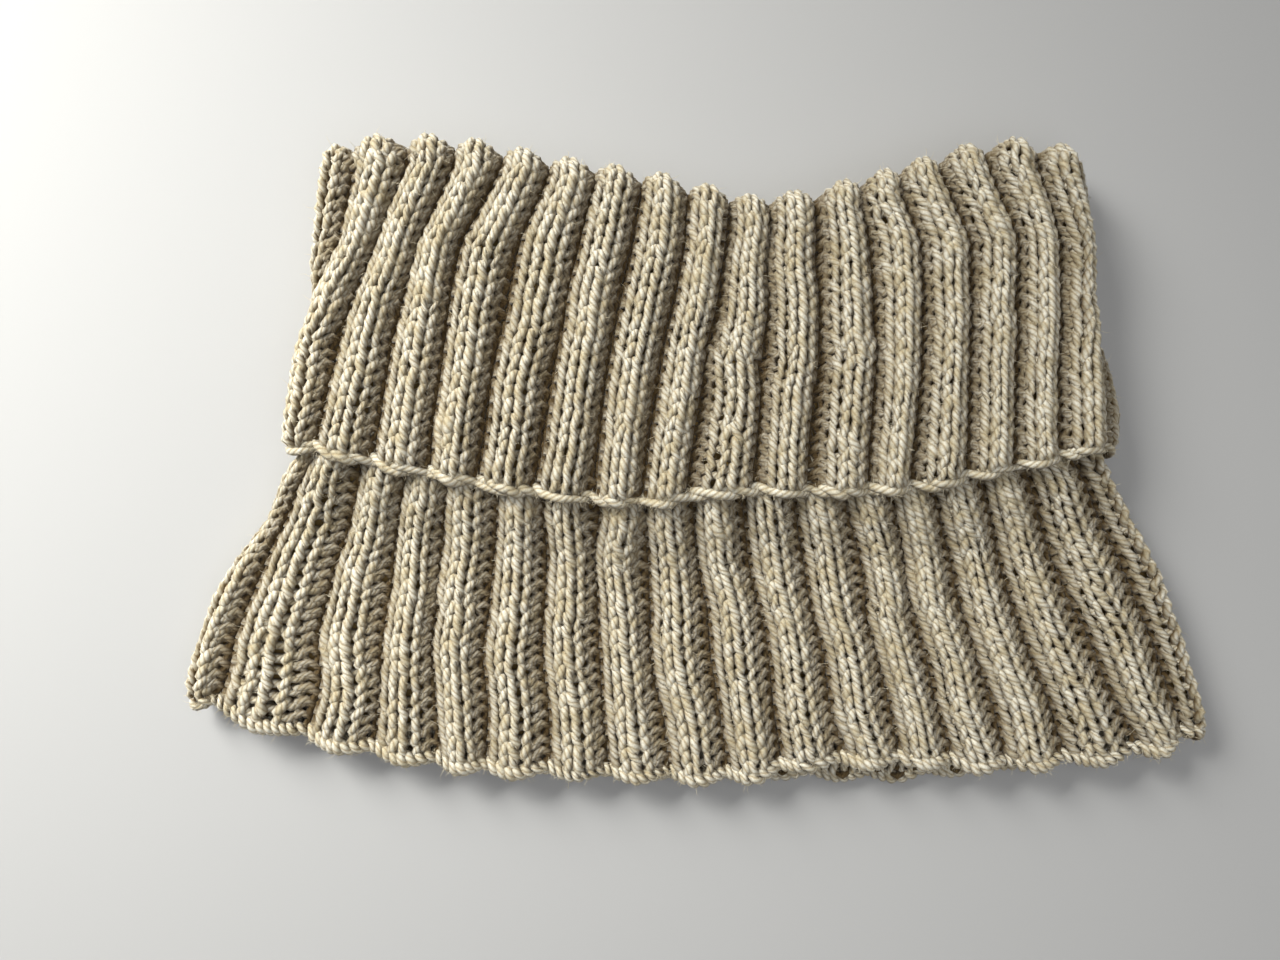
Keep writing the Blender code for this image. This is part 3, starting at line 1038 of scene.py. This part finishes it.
@dataclass
class RibKnitting:
    """Knitting in 2 by 2 rib over one side of a tube: a yarn for every row.

    A stitch's lean is a share of its width, its reach is in rows, and its depth in millimetres.
    The uneven fields say how much lean, reach, radius and place differ between stitches, and
    how much uneven spinning changes the radius along a yarn.
    """

    name: str
    tube: Tube
    side: Side
    first: int
    rows: int
    gauge: Gauge
    seed: int
    leg_lean: float = 0.2
    purl_lean: float = 0.3
    knit_reach: float = 0.86
    purl_reach: float = 0.75
    knit_depth: float = 1.05
    purl_depth: float = 0.5
    depth_in_wall: float = 0.6
    purl_radius: float = 0.88
    knit_blend: float = 0.18
    purl_blend: float = 0.08
    proud_mm: float = 2.2
    uneven_reach: float = 0.13
    uneven_lean: float = 0.24
    uneven_radius: float = 0.11
    uneven_place: float = 0.012
    uneven_spinning: float = 0.05
    spinning_every: int = 14
    wander: float = 0.035
    wander_knots: int = 8
    lean_of_groove: float = 0.8
    hidden_thin: float = 0.75
    hidden_sunk_mm: float = 1.0
    least_course: float = 0.1
    is_inside: bool = False

    def stitches(self) -> tuple[np.ndarray, np.ndarray, np.ndarray, np.ndarray]:
        """Lists the points of one row, stitch by stitch.

        Returns:
            Each point's rib phase before the ribs are spread, its angle through its stitch, how
            much it is knit rather than purl, and its stitch's number.
        """
        phases, angles, knits, numbers = [], [], [], []
        for rib in range(RIBS_A_SIDE):
            edges = self.stitch_edges(rib)
            for place, (low, high) in enumerate(zip(edges[:-1], edges[1:])):
                is_knit = place in (0, 3)
                count = self.gauge.points(is_knit, high - low)
                share = np.arange(count) / count
                phases.append(self.side.value - FIRST_RIB + rib + low + (high - low) * share)
                angles.append(share * 2.0 * math.pi)
                to_other_kind = 1.0 - share if place % 2 == 0 else share
                blend = eased(0.0, self.knit_blend if is_knit else self.purl_blend, to_other_kind)
                knits.append(0.5 + 0.5 * blend if is_knit else 0.5 - 0.5 * blend)
                numbers.append(np.full(count, rib * STITCHES_A_RIB + place))
        phases.append(np.array([self.side.value + RIBS_A_SIDE]))
        angles.append(np.array([2.0 * math.pi]))
        knits.append(np.array([1.0]))
        numbers.append(np.array([RIBS_A_SIDE * STITCHES_A_RIB]))
        return tuple(np.concatenate(values) for values in (phases, angles, knits, numbers))

    def groove_past(self, rib: Any) -> Any:
        """Gives how far past its middle a groove is deepest, as a share of the pitch."""
        left, right = self.tube.leans if self.side is Side.FRONT else NO_LEANS
        return left + (right - left) * rib / RIBS_A_SIDE

    def stitch_edges(self, rib: int) -> np.ndarray:
        """Gives where the stitches of a rib meet: knit, two purl that share the groove, and knit."""
        edge = KNIT_SHARE / 2
        return np.array([0.5, 0.5 + edge, 1.0 + self.groove_past(rib), 1.5 - edge, 1.5])

    def skewed(self, phase: np.ndarray) -> np.ndarray:
        """Moves the grooves past the ribs' middles, for the yarns' height.

        Args:
            phase: rib phases.

        Returns:
            The phases at which the ribs' height is to be taken.
        """
        past = self.groove_past(phase - self.side.value)
        rib = np.floor(phase - past)
        local = phase - past - rib
        crest = 0.5 - past
        return rib + np.where(local < crest, local / crest, 1.0 + (local - crest) / (1.0 - crest)) / 2

    def strand(self) -> Strand:
        """Works out the yarns' middle lines and thickness.

        Returns:
            The rows of yarn.
        """
        phase, angle, knit, number = self.stitches()
        rng = np.random.default_rng(self.seed)
        shape = (self.rows, number.max() + 1)
        taller, leaning, fatter, shoved = (
            uneven * rng.standard_normal(shape)[:, number]
            for uneven in (self.uneven_reach, self.uneven_lean, self.uneven_radius, self.uneven_place)
        )
        row = self.first + np.arange(self.rows)[:, None]
        reach = (self.knit_reach * knit + self.purl_reach * (1.0 - knit)) * (1.0 + taller)
        course = row + 0.5 - reach * np.cos(angle)
        share = np.clip(course / self.tube.courses, 0.0, 1.0)
        widths = np.concatenate([np.diff(self.stitch_edges(rib)) for rib in range(RIBS_A_SIDE + 1)])
        width = widths[number]
        lean = np.where(knit > 0.5, self.leg_lean, self.purl_lean) * (1.0 + leaning)
        loose = phase + width * lean * np.sin(2.0 * angle) + shoved * np.sin(angle / 2) ** 2
        spread = self.wandered(rng, self.spread(loose, share), course)
        crest_shift = self.groove_past(loose - self.side.value) * self.lean_of_groove
        spread = spread - crest_shift * self.tube.rib_height(loose)
        depth = np.where(knit > 0.5, self.knit_depth, self.purl_depth)
        radius = self.tube.yarn_radius * (1.0 + fatter) * (knit + self.purl_radius * (1.0 - knit))
        is_hidden = (width < HIDDEN_WIDTH) & (knit < 0.5)
        radius = radius * np.where(is_hidden, self.hidden_thin, 1.0)
        ripple = -(2.0 * knit - 1.0) * depth * np.cos(2.0 * angle) - self.hidden_sunk_mm * is_hidden
        level = self.level(self.skewed(loose), course, radius, depth, ripple)
        course = np.clip(course, self.least_course, None)
        middle = self.tube.place(spread, course, level, self.side)
        outward = self.tube.place(spread, course, level + 1.0, self.side) - middle
        middle = self.creased(middle, outward)
        # Inside yarn is seen from the cloth's inner face, so its outward turns to that face and the painted
        # shade of its underside lies away from view.
        if self.is_inside:
            outward = -outward
        radius = radius * self.slubs(middle)
        soft = drift(rng, middle.shape[:2], self.spinning_every)
        # How far below the crests the front's yarn lies: the wool paints shade by it, and the halo keeps
        # off deep yarn.
        below = np.zeros_like(radius)
        if self.side is Side.FRONT:
            below = np.maximum(self.tube.rib + self.proud_mm - level - radius, 0.0)
        radius = radius * (1.0 + self.uneven_spinning * soft)
        return Strand(middle, outward, radius, below, self.gauge.round)

    def level(
        self,
        phase: np.ndarray,
        course: np.ndarray,
        radius: np.ndarray,
        depth: np.ndarray,
        ripple: np.ndarray,
    ) -> np.ndarray:
        """Gives how far out the yarns' middle lines run.

        Args:
            phase: rib phases before the ribs are spread.
            course: rows along the tube.
            radius: the yarn's radius.
            depth: how far a stitch reaches in and out.
            ripple: where in that reach the yarn is.

        Returns:
            The distance from the wall's plain inside.
        """
        if self.is_inside:
            return self.tube.yarn_radius + self.depth_in_wall * depth - ripple
        proud = self.proud_mm * self.tube.rib_height(phase) if self.side is Side.FRONT else 0.0
        wall = self.tube.wall(phase, course) + proud
        return np.maximum(wall - radius - self.depth_in_wall * depth, self.tube.groove / 2) + ripple

    def wandered(self, rng: np.random.Generator, phase: np.ndarray, course: np.ndarray) -> np.ndarray:
        """Lets each rib wander a little from its line, as a handled fabric does.

        Args:
            rng: the random draws.
            phase: rib phases.
            course: rows along the tube.

        Returns:
            The moved phases.
        """
        knots = self.wander * rng.standard_normal((RIBS_A_SIDE + 1, self.wander_knots))
        knots[0] = knots[-1] = 0.0
        rib = np.clip(np.round(phase - self.side.value), 0, RIBS_A_SIDE).astype(int)
        place = np.clip(course / self.tube.courses, 0.0, 1.0) * (self.wander_knots - 2)
        low = np.floor(place).astype(int)
        share = eased(0.0, 1.0, place - low)
        return phase + knots[rib, low] * (1.0 - share) + knots[rib, low + 1] * share

    def spread(self, phase: np.ndarray, share: np.ndarray) -> np.ndarray:
        """Gives the knit wales their share of the rib's pitch, and the purl ones what is left.

        Args:
            phase: rib phases.
            share: how far along the tube each is, from 0 to 1.

        Returns:
            The phases once spread.
        """
        near, far = self.tube.knit_shares
        wanted = near + (far - near) * share
        rib = np.floor(phase)
        local = phase - rib - 0.5
        inside = local / KNIT_SHARE * wanted
        beyond = np.sign(local) * (
            0.5 - (0.5 - np.abs(local)) / (1.0 - KNIT_SHARE) * (1.0 - wanted)
        )
        start = self.side.value
        moved = rib + 0.5 + np.where(np.abs(local) <= KNIT_SHARE / 2, inside, beyond)
        return np.clip(moved, start + PHASE_MARGIN, start + RIBS_A_SIDE - PHASE_MARGIN)

    @staticmethod
    def creased(middle: np.ndarray, outward: np.ndarray) -> np.ndarray:
        """Lays the soft troughs and ridges into the cloth.

        Args:
            middle: points on the yarns' middle lines.
            outward: the outward direction at each.

        Returns:
            The moved points.
        """
        moved = middle.copy()
        for crease in CREASES:
            turn = math.radians(crease.degrees)
            x = middle[..., 0] - crease.x
            y = middle[..., 1] - crease.y
            along = (x * math.cos(turn) + y * math.sin(turn)) / crease.along
            across = (y * math.cos(turn) - x * math.sin(turn)) / crease.across
            moved[..., 2] += crease.depth * np.exp(-(along**2) - across**2) * outward[..., 2]
        return moved

    @staticmethod
    def slubs(middle: np.ndarray) -> np.ndarray:
        """Works out how much thicker the yarn is near its slubs.

        Args:
            middle: points on the yarns' middle lines.

        Returns:
            What each point's radius is multiplied by.
        """
        swell = np.ones(middle.shape[:2])
        for slub in SLUBS:
            distance = np.hypot(middle[..., 0] - slub.x, middle[..., 1] - slub.y)
            swell += slub.swell * np.exp(-((distance / slub.spread) ** 2))
        return swell

    def build(self, material: bpy.types.Material) -> bpy.types.Object:
        """Makes the piece."""
        return self.strand().piece(self.name, material)


@dataclass
class EdgeCord:
    """The edge of the knitting: loops laid over each other into a slanting cord.

    The cord runs just beyond the first row, in the middle of a wall as thick as it is a little
    further in. It stands out and its yarns swell where it crosses a rib.
    """

    name: str
    tube: Tube
    side: Side
    lay_mm: float
    cord_radius: float
    yarn_radius: float
    puff_mm: float
    steps: int
    round: int
    seed: int
    course: float = -0.1
    rows_in: float = 0.6
    wall_share: float = 0.5
    wobble_every: int = 30
    uneven_turn: float = 0.9
    thinnest: float = 0.85
    swell: float = 0.25
    uneven_radius: float = 0.12
    faces_up: bool = True

    def strand(self) -> Strand:
        """Works out two yarns that wind round each other along the edge.

        Returns:
            The two yarns.
        """
        start = self.side.value
        phase = np.linspace(start + PHASE_MARGIN, start + RIBS_A_SIDE - PHASE_MARGIN, self.steps)
        course = np.full_like(phase, self.course)
        crest = self.tube.rib_height(phase)
        level = self.tube.wall(phase, course + self.rows_in) * self.wall_share + self.puff_mm * crest
        middle = self.tube.place(phase, course, level, self.side)
        outward = self.tube.place(phase, course, level + 1.0, self.side) - middle
        along = np.gradient(middle, axis=0)
        travel = np.cumsum(np.linalg.norm(along, axis=-1))
        beside = np.cross(unit(along), outward)
        rng = np.random.default_rng(self.seed)
        wobble = drift(rng, (2, self.steps), self.wobble_every)
        rows = []
        for yarn in range(2):
            turn = travel / self.lay_mm * 2.0 * math.pi + yarn * math.pi + self.uneven_turn * wobble[0]
            round_cord = np.cos(turn)[:, None] * outward + np.sin(turn)[:, None] * beside
            rows.append(middle + self.cord_radius * round_cord)
        thickness = self.thinnest + self.swell * crest + self.uneven_radius * wobble[1]
        radius = self.yarn_radius * thickness
        # The painted shade of the cord's underside goes on the side away from facing.
        facing = outward if self.faces_up else -outward
        below = np.zeros((2, self.steps))
        return Strand(
            np.stack(rows), np.stack([facing, facing]), np.stack([radius, radius]), below, self.round
        )

    def build(self, material: bpy.types.Material) -> bpy.types.Object:
        """Makes the piece."""
        return self.strand().piece(self.name, material)


@dataclass
class Ground:
    """The inner loops behind the yarns: a closed thin wall all round a tube, dark with painted shade."""

    name: str
    tube: Tube
    first: float
    last: float
    stations: int = 32
    places: int = 7
    sunk_mm: float = 2.6
    inside_mm: float = 0.3

    def layer(self, is_outer: bool) -> np.ndarray:
        """Lays a grid of points all round the tube.

        Args:
            is_outer: whether it is the wall's outside or its inside.

        Returns:
            The points, by their course and their place round the tube.
        """
        count = RIBS_A_SIDE * self.places
        course = np.linspace(self.first, self.last, self.stations)[:, None]
        halves = []
        for side in Side:
            phase = side.value + (np.arange(count)[None, :] + 0.5) / count * RIBS_A_SIDE
            phase, courses = np.broadcast_arrays(phase, course)
            thick = np.full(phase.shape, self.inside_mm)
            if is_outer:
                thick = np.maximum(self.tube.wall(phase, courses) - self.sunk_mm, 2.0 * self.inside_mm)
            halves.append(self.tube.place(phase, courses, thick, side))
        return np.concatenate(halves, axis=1)

    def build(self, material: bpy.types.Material) -> bpy.types.Object:
        """Joins the outer and the inner layer at both ends.

        Args:
            material: the inner loops' material.

        Returns:
            The wall.
        """
        layers = [self.layer(is_outer) for is_outer in (True, False)]
        rows, columns = layers[0].shape[:2]
        skin = grid_faces(rows, columns, wrap=True)
        lining = skin[:, ::-1] + rows * columns
        around = np.arange(columns)
        after = (around + 1) % columns
        base = rows * columns
        low = np.stack([around, around + base, after + base, after], axis=-1)
        top = (rows - 1) * columns
        high = np.stack([after + top, after + top + base, around + top + base, around + top], axis=-1)
        points = np.concatenate([layer.reshape(-1, 3) for layer in layers])
        return mesh_piece(self.name, points, [np.concatenate([skin, lining, low, high])], material)


@dataclass
class Halo:
    """Loose fibres that stand off the yarns, each a thin curved spike of two stretches.

    Splay and curl say how far the two stretches turn from straight out. Yarn that lies deeper
    than shade_mm carries no fibre.
    """

    name: str
    count: int
    seed: int
    shortest_mm: float = 1.2
    longest_mm: float = 5.0
    # A real fibre is 0.03 mm thick, too fine to show, so these are drawn as thick as shows
    radius_mm: float = 0.07
    taper: float = 0.7
    splay: float = 0.7
    curl: float = 0.9
    root_mm: float = 0.3
    shade_mm: float = 2.5
    lowest_mm: float = 0.02

    def roots(self, strands: list[Strand]) -> tuple[np.ndarray, np.ndarray]:
        """Gathers the places on the yarns from which a fibre can stand off.

        Args:
            strands: the rows of yarn that carry fibres.

        Returns:
            The places, and the way straight out of the yarn at each.
        """
        roots, ways = [], []
        for strand in strands:
            rings = strand.rings()
            out = rings - strand.middle[:, :, None, :]
            is_open = strand.below < self.shade_mm
            roots.append(rings[is_open].reshape(-1, 3))
            ways.append(out[is_open].reshape(-1, 3))
        return np.concatenate(roots), unit(np.concatenate(ways))

    def build(self, strands: list[Strand], material: bpy.types.Material) -> bpy.types.Object:
        """Roots the fibres on the yarns.

        Args:
            strands: the rows of yarn that carry fibres.
            material: the fibres' material.

        Returns:
            All the fibres, as one piece.
        """
        rng = np.random.default_rng(self.seed)
        roots, ways = self.roots(strands)
        picked = rng.integers(0, len(roots), self.count)
        root, way = roots[picked], ways[picked]
        length = self.shortest_mm + (self.longest_mm - self.shortest_mm) * rng.random(self.count) ** 2
        start = unit(way + self.splay * rng.standard_normal((self.count, 3)))
        turned = unit(start + self.curl * rng.standard_normal((self.count, 3)))
        bend = root + start * (length * 0.5)[:, None]
        tip = bend + turned * (length * 0.5)[:, None]
        beside = unit(np.cross(start, turned + 0.01))
        third = np.cross(start, beside)
        angle = np.arange(3) / 3 * 2.0 * math.pi
        spread = np.cos(angle)[:, None] * beside[:, None, :] + np.sin(angle)[:, None] * third[:, None, :]
        low = (root - self.root_mm * way)[:, None, :] + self.radius_mm * spread
        middle = bend[:, None, :] + self.taper * self.radius_mm * spread
        points = np.concatenate([low, middle, tip[:, None, :]], axis=1)
        points[..., 2] = np.maximum(points[..., 2], self.lowest_mm)
        base = (np.arange(self.count) * points.shape[1])[:, None]
        sides, tips = [], []
        for corner in range(3):
            after = (corner + 1) % 3
            sides.append(base + np.array([[corner, after, 3 + after, 3 + corner]]))
            tips.append(base + np.array([[3 + corner, 3 + after, 6]]))
        faces = [np.concatenate(sides), np.concatenate(tips)]
        return mesh_piece(self.name, points.reshape(-1, 3), faces, material)


@dataclass(frozen=True)
class Lamp:
    """A square soft light that is aimed at a point, with its places and its side in metres."""

    name: str
    place: tuple[float, float, float]
    target: tuple[float, float, float]
    side: float
    spread_degrees: float
    watts: float
    colour: str

    def build(self) -> None:
        """Adds the light to the scene."""
        light = bpy.data.lights.new(self.name, "AREA")
        light.size = self.side
        light.spread = math.radians(self.spread_degrees)
        light.energy = self.watts
        light.color = linear_colour(self.colour)[:3]
        lamp = bpy.data.objects.new(self.name, light)
        lamp.location = self.place
        aim = Vector(self.target) - lamp.location
        lamp.rotation_euler = aim.to_track_quat("-Z", "Y").to_euler()
        bpy.context.scene.collection.objects.link(lamp)


@dataclass(frozen=True)
class Studio:
    """The plain floor, the soft light and the camera straight above, as in the photograph.

    The window's light comes in aslant from the upper left, so a rib shades the groove beside it.
    Half the floor's side and the camera's nearest distance are in metres.
    """

    camera_mm: tuple[float, float, float] = (-18.5, -6.7, 324.0)
    view_degrees: float = 67.3
    nearest: float = 0.01
    floor_half: float = 2.0
    floor_drop_mm: float = 0.2
    floor_colour: str = "C6C7CA"
    floor_roughness: float = 0.8
    sky_colour: str = "EEECE6"
    sky_strength: float = 0.2
    lamps: tuple[Lamp, ...] = (
        Lamp(
            "window",
            place=(-0.75, 0.6, 0.5),
            target=(-0.42, 0.14, 0.0),
            side=0.6,
            spread_degrees=70.0,
            watts=4.4,
            colour="FFFDF4",
        ),
        Lamp(
            "fill",
            place=(0.2, -0.2, 0.9),
            target=(0.0, 0.0, 0.0),
            side=1.0,
            spread_degrees=180.0,
            watts=2.8,
            colour="F8F8F6",
        ),
    )

    def build(self) -> None:
        """Makes the floor, the lights, the sky and the camera."""
        self.floor()
        for lamp in self.lamps:
            lamp.build()
        self.sky()
        self.camera()

    def floor(self) -> None:
        """Lays the floor just under the surface that the cowl rests on."""
        half = self.floor_half
        corners = [(-half, -half, 0), (half, -half, 0), (half, half, 0), (-half, half, 0)]
        mesh = bpy.data.meshes.new("floor")
        mesh.from_pydata(corners, [], [(0, 1, 2, 3)])
        surface = {"Base Color": linear_colour(self.floor_colour), "Roughness": self.floor_roughness}
        paint, _ = start_material("floor_paint", surface)
        mesh.materials.append(paint)
        floor = bpy.data.objects.new("floor", mesh)
        floor.location.z = -self.floor_drop_mm * MM
        bpy.context.scene.collection.objects.link(floor)

    def sky(self) -> None:
        """Lights the scene evenly from all round."""
        world = bpy.data.worlds.new("sky")
        world.use_nodes = True
        background = world.node_tree.nodes["Background"]
        background.inputs["Color"].default_value = linear_colour(self.sky_colour)
        background.inputs["Strength"].default_value = self.sky_strength
        bpy.context.scene.world = world

    def camera(self) -> None:
        """Sets the camera above the cowl, looking straight down, and shows colours as they are."""
        scene = bpy.context.scene
        camera = bpy.data.objects.new("camera", bpy.data.cameras.new("camera"))
        camera.data.sensor_fit = "HORIZONTAL"
        camera.data.angle = math.radians(self.view_degrees)
        camera.data.clip_start = self.nearest
        camera.location = [part * MM for part in self.camera_mm]
        scene.collection.objects.link(camera)
        scene.camera = camera
        scene.view_settings.view_transform = "Standard"


@dataclass
class Cowl:
    """The whole cowl: two grounds, the knitting on both sides, its edges and its halo.

    The knitting in front has a lower and an upper piece of as many rows, on the collar and on the
    skirt, which keeps each piece's triangles in bounds.
    """

    collar_rows: int = 11
    fold_rows: int = 3
    skirt_rows: int = 12
    inside_rows: int = 4
    rows_over_fold: float = 3.2
    skirt_ground_from: float = 2.2
    fibres: int = 15000

    def collar(self) -> list[RibKnitting | EdgeCord]:
        """Lists the collar's knitting and its bound-off edge.

        Returns:
            The parts, not built yet.
        """
        rows = self.collar_rows
        both = 2 * rows
        return [
            RibKnitting("collar_lower_knit", COLLAR, Side.FRONT, 0, rows, FINE, seed=11),
            RibKnitting("collar_upper_knit", COLLAR, Side.FRONT, rows, rows, FINE, seed=16),
            RibKnitting("collar_fold_knit", COLLAR, Side.FRONT, both, self.fold_rows, FINE, seed=12),
            RibKnitting("collar_back_knit", COLLAR, Side.BACK, 0, both + self.fold_rows, PLAIN, seed=13),
            EdgeCord(
                "bound_off_front",
                COLLAR,
                Side.FRONT,
                lay_mm=20.0,
                cord_radius=1.0,
                yarn_radius=1.5,
                puff_mm=1.4,
                steps=900,
                round=FINE.round,
                seed=14,
            ),
            EdgeCord(
                "bound_off_back",
                COLLAR,
                Side.BACK,
                lay_mm=16.0,
                cord_radius=0.8,
                yarn_radius=1.3,
                puff_mm=0.2,
                steps=400,
                round=PLAIN.round,
                seed=15,
            ),
        ]

    def skirt(self) -> list[RibKnitting | EdgeCord]:
        """Lists the skirt's knitting and its cast-on edge.

        Returns:
            The parts, not built yet.
        """
        rows = self.skirt_rows
        return [
            RibKnitting("skirt_lower_knit", SKIRT, Side.FRONT, 0, rows, FINE, seed=21),
            RibKnitting("skirt_upper_knit", SKIRT, Side.FRONT, rows, rows, FINE, seed=26),
            RibKnitting("skirt_back_knit", SKIRT, Side.BACK, 0, 2 * rows, PLAIN, seed=22),
            RibKnitting(
                "skirt_inside_knit", SKIRT, Side.BACK, 0, self.inside_rows, PLAIN, seed=25, is_inside=True
            ),
            EdgeCord(
                "cast_on_front",
                SKIRT,
                Side.FRONT,
                lay_mm=5.8,
                cord_radius=1.5,
                yarn_radius=1.3,
                puff_mm=2.0,
                steps=1500,
                round=FINE.round,
                seed=23,
            ),
            EdgeCord(
                "cast_on_back",
                SKIRT,
                Side.BACK,
                lay_mm=5.8,
                cord_radius=1.2,
                yarn_radius=1.3,
                puff_mm=0.4,
                steps=900,
                round=PLAIN.round,
                seed=24,
                faces_up=False,
            ),
        ]

    def build(self) -> None:
        """Builds every piece, attaches each to the root and hides the imported walls that it replaces."""
        wool = Wool().build()
        # Painted shade: the wool behind the loops and the neck's hidden layers is dark brown for the shade
        # it lies in.
        shade = Fleece("wool_inner_loops_painted_shade", colour="7C6640", grain="9A8254").build()
        haze = Fleece("wool_loose_fibres", colour="F2EAD6", grain="E6DABC").build()
        collar = self.collar()
        skirt = self.skirt()
        collar_ground = Ground(
            "collar_inner_loops", COLLAR, first=0.5, last=COLLAR.courses + self.rows_over_fold
        ).build(shade)
        skirt_ground = Ground(
            "skirt_inner_loops", SKIRT, first=self.skirt_ground_from, last=SKIRT.courses
        ).build(shade)
        collar_pieces = [self.report(part.build(wool)) for part in collar]
        skirt_pieces = [self.report(part.build(wool)) for part in skirt]
        seen = [part for part in (*collar, *skirt) if part.side is Side.FRONT]
        halo = Halo("loose_fibres", self.fibres, seed=31).build([part.strand() for part in seen], haze)
        for piece in (collar_ground, skirt_ground, halo):
            self.report(piece)
        for piece in (collar_ground, skirt_ground, halo, *collar_pieces, *skirt_pieces):
            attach(piece, "root")
        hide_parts("collar_front", "collar_back")
        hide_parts("skirt_front", "skirt_back")
        # The neck's hidden layers take the same painted shade.
        bpy.data.objects["neck_layers"].data.materials[0] = shade

    @staticmethod
    def report(piece: bpy.types.Object) -> bpy.types.Object:
        """Logs a piece's name and number of triangles.

        Args:
            piece: the piece.

        Returns:
            The same piece.
        """
        triangles = sum(len(face.vertices) - 2 for face in piece.data.polygons)
        LOG.info("%s: %d triangles", piece.name, triangles)
        return piece


def main() -> None:
    logging.basicConfig(level=logging.INFO, format="%(message)s")
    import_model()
    Studio().build()
    Cowl().build()


if __name__ == "__main__":
    main()
